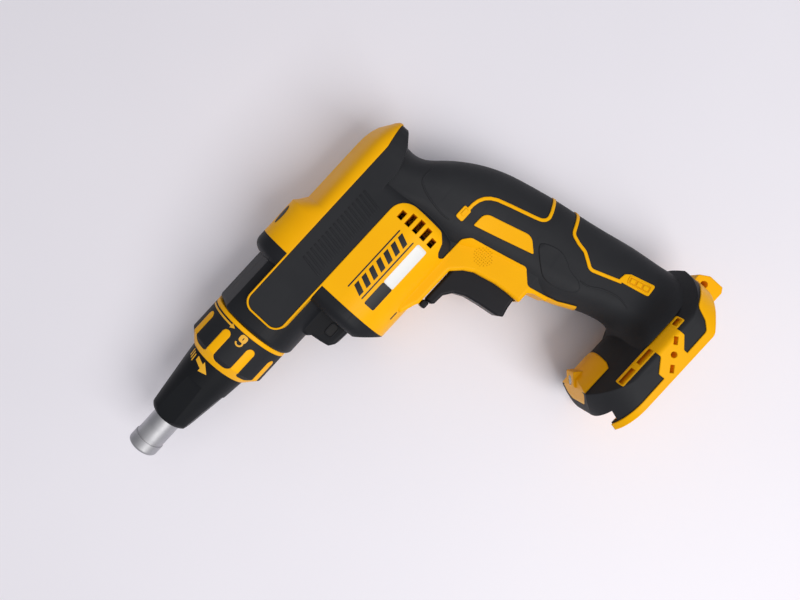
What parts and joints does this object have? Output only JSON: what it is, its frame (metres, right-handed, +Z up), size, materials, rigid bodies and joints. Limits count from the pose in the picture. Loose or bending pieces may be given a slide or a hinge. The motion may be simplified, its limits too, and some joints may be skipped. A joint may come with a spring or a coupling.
{
  "type": "drywall screwdriver",
  "caption": "Cordless drywall screwgun with a depth-set nose, push-in clutch spindle, trigger handle and a foot with rails for a slide-on battery.",
  "frame": {"origin": "middle of the nosepiece's mouth, on the spindle line", "axes": "+X back along the spindle line, +Y from the foot towards the barrel's top, +Z up out of the tool's left side as it lies on its right side"},
  "size_m": [0.2769, 0.2028, 0.073],
  "materials": {
    "yellow_shell": "satin moulded yellow plastic",
    "black_grip": "matt black soft overmould",
    "black_plastic": "fine textured black plastic",
    "collar_yellow": "satin moulded yellow plastic",
    "nose_metal": "satin turned metal",
    "steel": "ground steel",
    "black_screw": "black oxide steel",
    "copper": "enamelled winding wire",
    "lamination": "stacked laminations",
    "board": "green circuit board",
    "contact": "plated contact blades",
    "lens": "clear lens",
    "seal": "black seal",
    "potting": "potted module",
    "lead": "lead insulation",
    "fan_plastic": "moulded fan"
  },
  "bodies": {
    "housing": {"left_housing": "yellow_shell", "right_housing": "yellow_shell", "left_grip": "black_grip", "right_grip": "black_grip", "gear_case": "black_plastic", "terminal_block": "black_plastic", "battery_contacts": "contact", "lamp_lens": "lens", "bearing_balls": "steel", "spindle_seal": "seal", "gear_bearing": "steel", "front_motor_bearing": "steel", "rear_motor_bearing": "steel", "stator_core": "lamination", "stator_coils": "copper", "sensor_board": "board", "switch_body": "black_plastic", "control_module": "potting", "motor_leads": "lead", "lamp_board": "board", "bearing_outer_ring": "steel", "gear_case_screws": "black_screw", "bearing_plate": "black_plastic", "housing_screws": "black_screw"},
    "drive_gear": {"drive_gear": "steel", "clutch_spring": "steel"},
    "rotor": {"rotor_shaft": "steel", "rotor_core": "lamination", "pinion": "steel", "cooling_fan": "fan_plastic"},
    "spindle_ring": {"bearing_inner_ring": "steel"},
    "spindle": {"spindle": "steel", "bit_holder": "steel", "bit_magnet": "lamination"},
    "depth_collar": {"collar_core": "collar_yellow", "collar_grip": "black_plastic"},
    "nose": {"nose_cone": "black_plastic", "nosepiece": "nose_metal"},
    "trigger": {"trigger": "black_plastic", "switch_plunger": "black_plastic"},
    "reverse_lever": {"reverse_lever": "black_plastic"}
  },
  "joints": [
    {"name": "drive_gear_spin", "type": "hinge", "parent": "housing", "child": "drive_gear", "pos_m": [0.13, 0, 0], "axis": [1, 0, 0], "continuous": true},
    {"name": "rotor_spin", "type": "hinge", "parent": "housing", "child": "rotor", "pos_m": [0.16, -0.028, 0], "axis": [1, 0, 0], "continuous": true},
    {"name": "spindle_spin", "type": "hinge", "parent": "housing", "child": "spindle_ring", "pos_m": [0.073, 0, 0], "axis": [1, 0, 0], "continuous": true},
    {"name": "spindle_push", "type": "slide", "parent": "spindle_ring", "child": "spindle", "axis": [1, 0, 0], "range_m": [0, 0.0036], "stiffness_N_per_m": 2500, "springref_m": -0.004, "deforming": ["clutch_spring"]},
    {"name": "collar_turn", "type": "hinge", "parent": "housing", "child": "depth_collar", "pos_m": [0.077, 0, 0], "axis": [1, 0, 0], "range_deg": [-270, 270]},
    {"name": "nose_slide", "type": "slide", "parent": "housing", "child": "nose", "axis": [1, 0, 0], "range_m": [-0.003, 0.003]},
    {"name": "trigger_pull", "type": "slide", "parent": "housing", "child": "trigger", "axis": [1, 0, 0], "range_m": [0, 0.006], "stiffness_N_per_m": 900, "springref_m": -0.006},
    {"name": "reverse_shift", "type": "slide", "parent": "housing", "child": "reverse_lever", "axis": [0, 0, 1], "range_m": [-0.003, 0.003]}
  ],
  "couplings": [
    {"joint": "rotor_spin", "follows": "drive_gear_spin", "ratio": -4.6},
    {"joint": "spindle_spin", "follows": "drive_gear_spin", "ratio": 1},
    {"joint": "nose_slide", "follows": "collar_turn", "m_per_rad": 0.000636}
  ]
}
